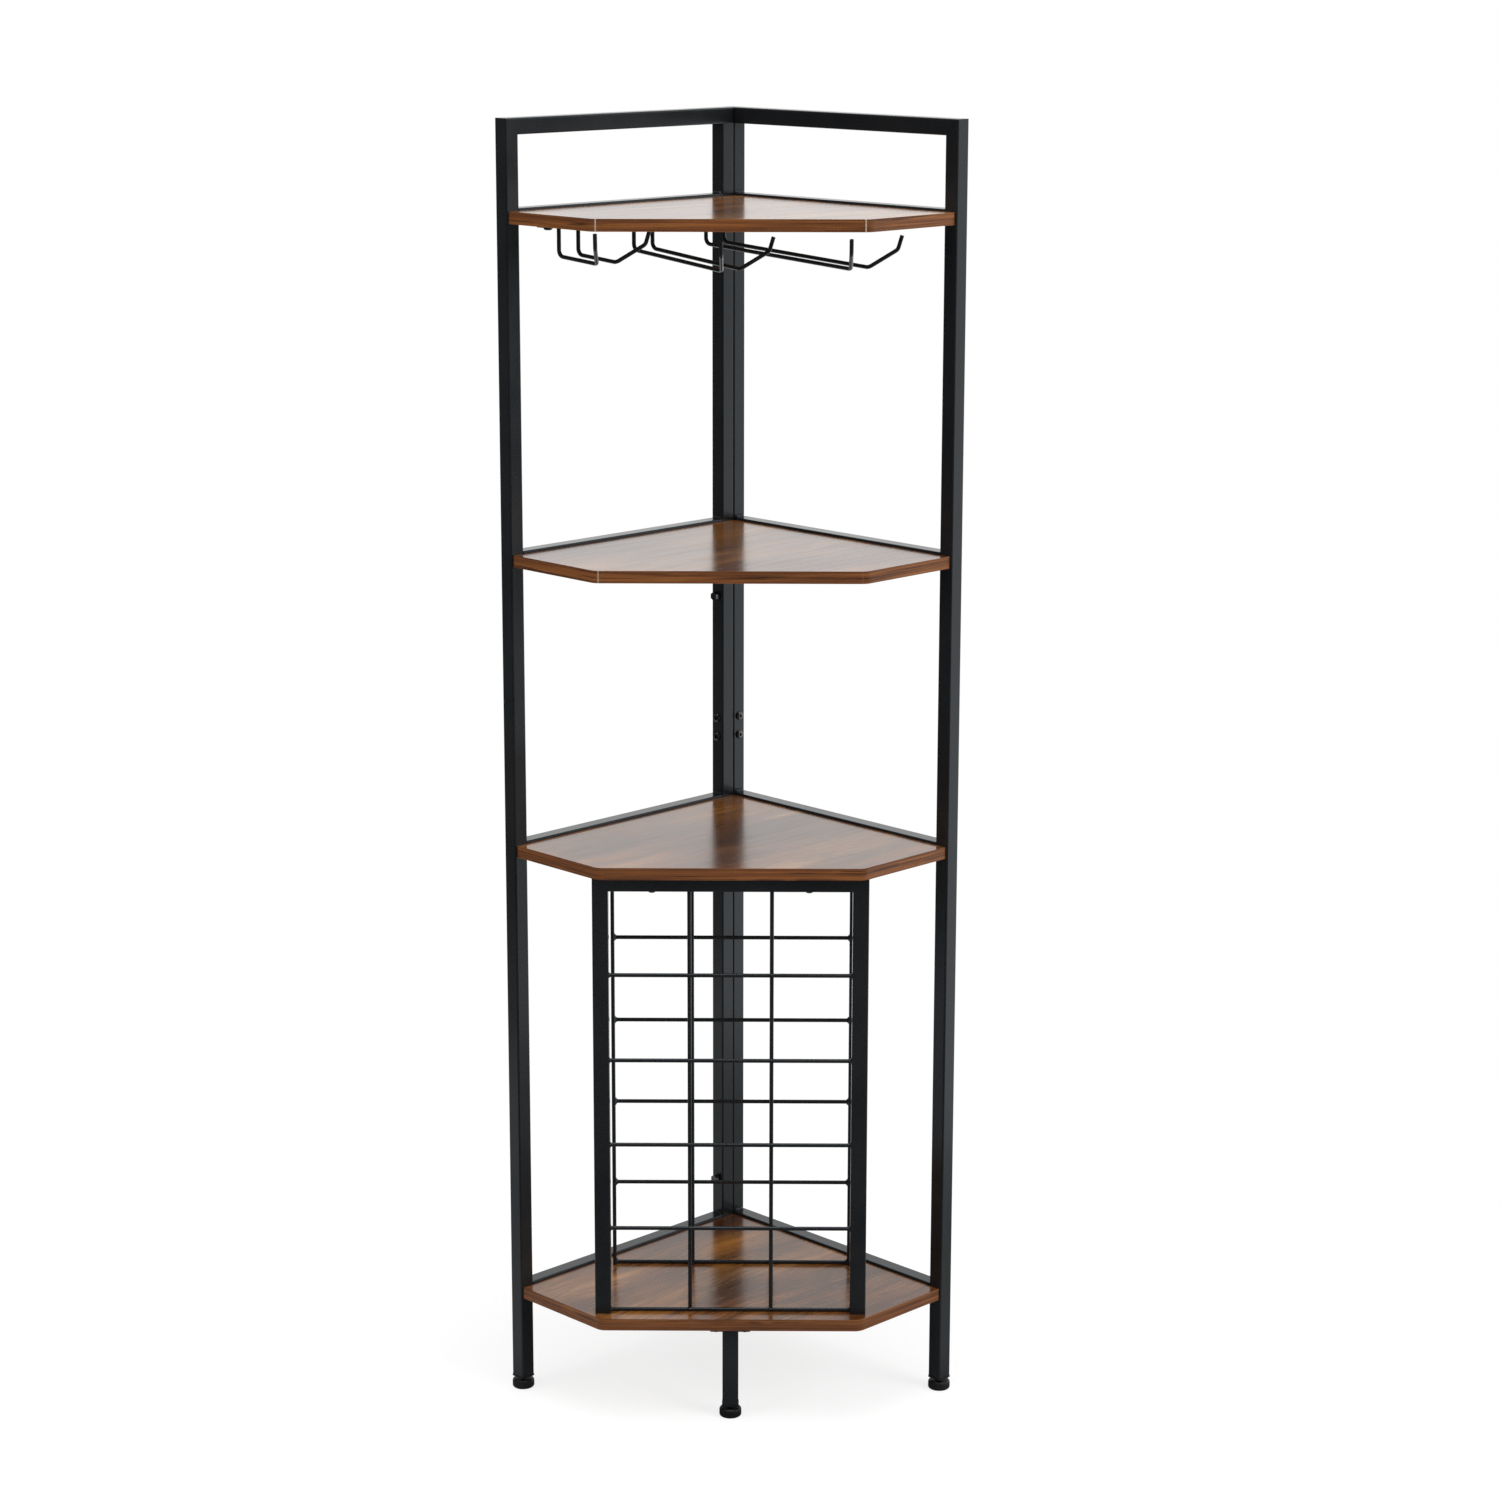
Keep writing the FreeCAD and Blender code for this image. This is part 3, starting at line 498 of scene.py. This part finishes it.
def weld_piece(name, draw):
    """One piece of welds, drawn by a function into a new mesh, that rides on the frame."""
    bm = bmesh.new()
    draw(bm)
    bmesh.ops.recalc_face_normals(bm, faces=bm.faces)
    mesh = bpy.data.meshes.new(name)
    bm.to_mesh(mesh)
    bm.free()
    mesh.shade_smooth()
    mesh.materials.append(SLOT_MATERIALS["black_steel"])
    piece = bpy.data.objects.new(name, mesh)
    scene.collection.objects.link(piece)
    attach(piece, "frame")


def wing_welds(bm):
    """Beads round the outer sides of each shelf rail's ends, and where each tab meets its rail."""
    for side, run in WING_RUNS.items():
        outside = WING_OUTSIDES[side]
        for shelf in SHELVES:
            (rail,) = solids_of(f"{side}_wing_{shelf}_shelf_rail")
            middle = middle_of(rail)
            half = half_size(rail, UP)
            width = outside * half * BEAD_SHARE
            height = UP * half * BEAD_SHARE
            for sign in (-1, 1):
                face = middle + run * half_size(rail, run) * sign
                for edge in (face - UP * half, face + UP * half):
                    bead(bm, edge - width, edge + width, WING_WELD)
                edge = face + outside * half
                bead(bm, edge - height, edge + height, WING_WELD)
        for tab in solids_of(f"{side}_wing_shelf_tabs"):
            middle = middle_of(tab)
            seam = middle + outside * (reach(tab, outside)[1] - middle.dot(outside))
            seam.z = reach(tab, UP)[0]
            half_run = run * half_size(tab, run) * TAB_BEAD_SHARE
            bead(bm, seam - half_run, seam + half_run, TAB_WELD)


def rack_welds(bm):
    """Fillets at the wires' ends and flash at their crossings, above the board that the rack stands on."""
    (base,) = solids_of("rack_bottom_bar")
    deck = reach(base, UP)[0]

    def bar_ends(points, low, high, width=WIRE_WELD):
        """Fillets round a level bar, at two distances to the right of the middle."""
        middle = middle_of(points)
        wire = half_size(points, UP)
        fillet(bm, Vector((low, middle.y, middle.z)), RIGHT, wire, width, deck)
        fillet(bm, Vector((high, middle.y, middle.z)), -RIGHT, wire, width, deck)

    for bars, posts, butted in (("rack_front_crossbars", "rack_front_verticals", True),
                                ("rack_rear_crossbars", "rack_rear_verticals", False)):
        uprights = sorted(solids_of(posts), key=lambda points: reach(points, RIGHT)[0])
        for bar in solids_of(bars):
            middle = middle_of(bar)
            if butted:
                bar_ends(bar, *reach(bar, RIGHT))
            else:
                bar_ends(bar, reach(uprights[0], RIGHT)[1], reach(uprights[-1], RIGHT)[0], REAR_WELD)
            for post in uprights:
                touch = middle_of(post)
                touch.y = (touch.y + middle.y) / 2
                touch.z = middle.z
                nugget(bm, touch, BACK, half_size(bar, UP), deck)
    bar_ends(base, *reach(base, RIGHT))
    wire = half_size(base, UP)
    for post in solids_of("rack_front_verticals"):
        foot = middle_of(post)
        low, high = reach(post, UP)
        fillet(bm, Vector((foot.x, foot.y, low - wire * SUNK_FOOT)), UP, wire)
        fillet(bm, Vector((foot.x, foot.y, high)), -UP, wire)


def hanger_welds(bm):
    """Fillets where the hangers' risers meet their plates."""
    for length in ("short", "medium", "long"):
        for wire in solids_of(f"glass_hanger_{length}"):
            top = reach(wire, UP)[1]
            rim = [point for point in wire if point.z > top - RIM_DEPTH]
            fillet(bm, middle_of(rim), -UP, half_size(rim, RIGHT))


def leg_welds(bm):
    """Beads round the top of the front leg, under its plate."""
    (leg,) = solids_of("front_leg")
    top = middle_of(leg)
    top.z = reach(leg, UP)[1]
    for out, along in ((RIGHT, BACK), (BACK, RIGHT)):
        half = half_size(leg, out)
        for sign in (-1, 1):
            side = top + out * half * sign
            bead(bm, side - along * half * BEAD_SHARE, side + along * half * BEAD_SHARE, LEG_WELD)


weld_piece("wing_welds", wing_welds)
weld_piece("rack_welds", rack_welds)
weld_piece("hanger_welds", hanger_welds)
weld_piece("leg_welds", leg_welds)


# Stage: white floor that keeps the shadow, white behind, soft lamps. Distances are from the part's middle.
LEFT_FLAG, FRONT_FLAG, HIGH_FLAG = 0.08, 0.1, 0.6       # how bright the flags are
SIDE_FLAG_START, HIGH_FLAG_START = 0.2, 0.7             # shares of their edges where they start
FLOOR_FLAG_EDGES = (2.2, 0.7, 1.0)                      # full flags on the floor: left, front and height
WORLD_FLAG_EDGES = (0.8, 0.8, 0.4)                      # the same in the sky, by direction
WORLD_LIGHT = 0.4                                       # level at which the sky lights surfaces
FLOOR_HALF = 60.0
FLOOR_TONE = 0.8                                        # as light that bounces off it sees the floor
SHADOW_TONE, SHADOW_GLOW = 0.3, 0.78                    # matt and glowing parts of the shadowed floor
SHADOW_END = (0.45, 1.3)                                # the shadow fades out between these distances
# Painted shadow on the floor that only reflections see, darkest near the part's middle and gone by 1.5 m
PAINTED_SHADOW_INNER = (0.2, 0.45, 0.2, 1.0)                      # reflected floor: distances, then brightness there
PAINTED_SHADOW_OUTER = (0.9, 1.5, 0.42, 1.0)
# Square lamps: place, the point that they face, side, watts and whether reflections show them
LAMPS = {"key": ((3.6, -2.2, 3.0), (0, 0, 0.9), 2.4, 96, False),
         "fill": ((-3.8, -2.4, 2.2), (0, 0, 0.9), 2.2, 46, False),
         "top": ((0.0, -0.6, 4.4), (0, 0, 0.8), 2.6, 75, True)}


def background_rays(g):
    """1 for rays from the camera and for reflected and refracted rays, which see the white studio."""
    path = g.add("ShaderNodeLightPath")
    seen = g.math("MAXIMUM", path.outputs["Is Camera Ray"], path.outputs["Is Glossy Ray"])
    return g.math("MAXIMUM", seen, path.outputs["Is Transmission Ray"])


def flagged(g, place, left_edge, front_edge, high_edge):
    """White, with soft dark flags to the left, in front and overhead, which only reflections see."""
    x, y, z = g.parts(place)
    left = g.span(x, -left_edge, -SIDE_FLAG_START * left_edge, LEFT_FLAG, 1.0)
    front = g.span(y, -front_edge, -SIDE_FLAG_START * front_edge, FRONT_FLAG, 1.0)
    high = g.span(z, HIGH_FLAG_START * high_edge, high_edge, 1.0, HIGH_FLAG)
    camera = g.add("ShaderNodeLightPath").outputs["Is Camera Ray"]
    return g.math("MAXIMUM", g.math("MULTIPLY", g.math("MULTIPLY", left, front), high), camera)


def floor_material():
    """White floor with a soft shadow near the part, clear from below, and with a painted shadow near the
    part that only reflections see.
    """
    made = bpy.data.materials.new("floor_white")
    made.use_nodes = True
    g = Graph(made.node_tree)
    place = g.add("ShaderNodeTexCoord").outputs["Object"]
    away = g.length(place)
    shadowed = g.add("ShaderNodeAddShader")
    g.put(shadowed.inputs[0], g.diffuse(SHADOW_TONE))
    g.put(shadowed.inputs[1], g.emission(SHADOW_GLOW))
    seen = g.mix_shaders(g.span(away, *SHADOW_END), shadowed.outputs[0], g.emission(1.0))
    # Painted shadow: reflections see the floor darkest within 0.2 m of the part's middle, brightening out
    # to 1.5 m
    under = g.math("MULTIPLY", g.span(away, *PAINTED_SHADOW_INNER), g.span(away, *PAINTED_SHADOW_OUTER))
    reflected = g.emission(g.math("MULTIPLY", flagged(g, place, *FLOOR_FLAG_EDGES), under))
    glossy = g.add("ShaderNodeLightPath").outputs["Is Glossy Ray"]
    studio = g.mix_shaders(glossy, seen, reflected)
    look = g.mix_shaders(background_rays(g), g.diffuse(FLOOR_TONE), studio)
    clear = g.add("ShaderNodeBsdfTransparent").outputs[0]
    look = g.mix_shaders(g.add("ShaderNodeNewGeometry").outputs["Backfacing"], look, clear)
    g.put(g.add("ShaderNodeOutputMaterial").inputs[0], look)
    return made


def build_floor():
    mesh = bpy.data.meshes.new("floor")
    corners = [(-1, -1), (1, -1), (1, 1), (-1, 1)]
    mesh.from_pydata([(x * FLOOR_HALF, y * FLOOR_HALF, 0) for x, y in corners], [], [(0, 1, 2, 3)])
    floor = bpy.data.objects.new("floor", mesh)
    scene.collection.objects.link(floor)
    floor.data.materials.append(floor_material())


def build_world():
    """Sky that lights surfaces evenly, and is white with dark flags where it is seen."""
    world = bpy.data.worlds.new("studio")
    scene.world = world
    world.use_nodes = True
    g = Graph(world.node_tree)
    direction = g.add("ShaderNodeTexCoord").outputs["Generated"]
    level = g.mix_numbers(background_rays(g), WORLD_LIGHT, flagged(g, direction, *WORLD_FLAG_EDGES))
    sky = g.add("ShaderNodeBackground")
    sky.inputs[0].default_value = WHITE
    g.put(sky.inputs[1], level)
    output = g.add("ShaderNodeOutputWorld")
    g.put(output.inputs[0], sky.outputs[0])


def lamp(name, place, target, size, watts, reflected):
    """Square area lamp that faces a point."""
    light = bpy.data.lights.new(name, "AREA")
    light.shape = "SQUARE"
    light.size = size
    light.energy = watts
    made = bpy.data.objects.new(name, light)
    made.location = place
    made.rotation_euler = (Vector(target) - Vector(place)).to_track_quat("-Z", "Y").to_euler()
    made.visible_glossy = reflected
    scene.collection.objects.link(made)


# Camera at the photograph's viewpoint: angles in radians, focal length in the photograph's pixels
CAMERA_PLACE = (0.0461, -4.2901, 1.8456)
YAW, PITCH, ROLL = -0.00551, 0.22453, 0.00173
FOCAL_LENGTH = 3486.2
PHOTO_WIDTH = 1500
SENSOR_WIDTH = 36                   # millimetres
SHIFT_UP = -0.02


def build_camera():
    """Camera pitched down to frame the part."""
    right = Vector((math.cos(YAW), -math.sin(YAW), 0))
    ahead = Vector((math.sin(YAW) * math.cos(PITCH), math.cos(YAW) * math.cos(PITCH), -math.sin(PITCH)))
    up = right.cross(ahead)
    tilted_right = right * math.cos(ROLL) + up * math.sin(ROLL)
    tilted_up = up * math.cos(ROLL) - right * math.sin(ROLL)
    turn = Matrix((tilted_right, tilted_up, -ahead)).transposed().to_4x4()
    data = bpy.data.cameras.new("camera")
    data.sensor_width = SENSOR_WIDTH
    data.lens = FOCAL_LENGTH / PHOTO_WIDTH * SENSOR_WIDTH
    data.shift_y = SHIFT_UP
    made = bpy.data.objects.new("camera", data)
    made.matrix_world = Matrix.Translation(CAMERA_PLACE) @ turn
    scene.collection.objects.link(made)
    scene.camera = made


build_floor()
build_world()
for lamp_name, lamp_row in LAMPS.items():
    lamp(lamp_name, *lamp_row)
build_camera()
